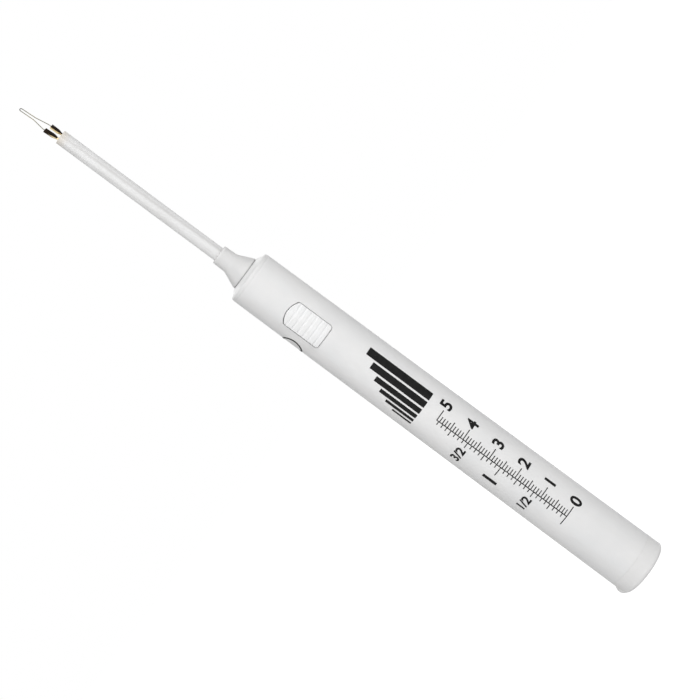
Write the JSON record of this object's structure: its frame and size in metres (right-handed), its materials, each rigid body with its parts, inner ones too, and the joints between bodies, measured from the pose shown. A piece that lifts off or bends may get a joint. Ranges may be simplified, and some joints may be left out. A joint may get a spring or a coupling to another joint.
{
  "type": "hot wire cutter",
  "caption": "Slim battery pen with a ribbed press button, a flared nose cone and a long thin sleeve that ends in a small heated wire loop.",
  "frame": {"origin": "centre of the flat rear end face", "axes": "+Z along the pen to the wire tip, the press button faces -Y"},
  "size_m": [0.0196, 0.019, 0.24],
  "materials": {
    "body_white": "moulded white plastic with a soft satin shine",
    "button_white": "moulded bright white plastic, soft ribs",
    "sleeve_white": "milky white heat-resistant tubing",
    "insulator": "cream heat-resistant plastic",
    "brass": "drawn brass, darkened by heat at the crimps",
    "wire_alloy": "drawn resistance wire",
    "carrier_grey": "moulded grey plastic",
    "plated_steel": "nickel-plated spring steel",
    "spring_bronze": "phosphor bronze strip",
    "contact_silver": "silver contact face",
    "cell_steel": "nickel-plated steel",
    "cell_core": "packed black powder",
    "cell_seal": "dark nylon",
    "cell_jacket": "plain dark film"
  },
  "bodies": {
    "handle": {"barrel": "body_white", "side_plug": "body_white", "front_collar": "body_white", "nose_cone": "body_white", "tip_sleeve": "sleeve_white", "lead_core": "insulator", "left_terminal_post": "brass", "right_terminal_post": "brass", "heating_wire": "wire_alloy", "switch_carrier": "carrier_grey", "positive_contact": "plated_steel", "blade_anchor": "spring_bronze", "blade_rivet": "brass", "fixed_contact": "plated_steel", "fixed_tip": "contact_silver", "return_strip": "plated_steel", "rear_cell_can": "cell_steel", "rear_cell_core": "cell_core", "rear_cell_seal": "cell_seal", "rear_cell_cap": "cell_steel", "rear_cell_jacket": "cell_jacket", "front_cell_can": "cell_steel", "front_cell_core": "cell_core", "front_cell_seal": "cell_seal", "front_cell_cap": "cell_steel", "front_cell_jacket": "cell_jacket"},
    "button": {"press_button": "button_white"},
    "blade": {"contact_blade": "spring_bronze", "blade_tip": "contact_silver"},
    "cap": {"rear_cap": "body_white", "rear_contact": "plated_steel", "battery_spring": "plated_steel"}
  },
  "joints": [
    {"name": "button_press", "type": "slide", "parent": "handle", "child": "button", "axis": [0, 1, 0], "range_m": [0, 0.0008], "stiffness_N_per_m": 300, "springref_m": -0.002},
    {"name": "blade_flex", "type": "hinge", "parent": "handle", "child": "blade", "pos_m": [0, -0.00375, 0.12205], "axis": [-1, 0, 0], "range_deg": [0, 5.4]},
    {"name": "cap_pull", "type": "slide", "parent": "handle", "child": "cap", "axis": [0, 0, -1], "range_m": [0, 0.03]}
  ],
  "couplings": [
    {"joint": "blade_flex", "follows": "button_press", "rad_per_m": 111.11}
  ]
}
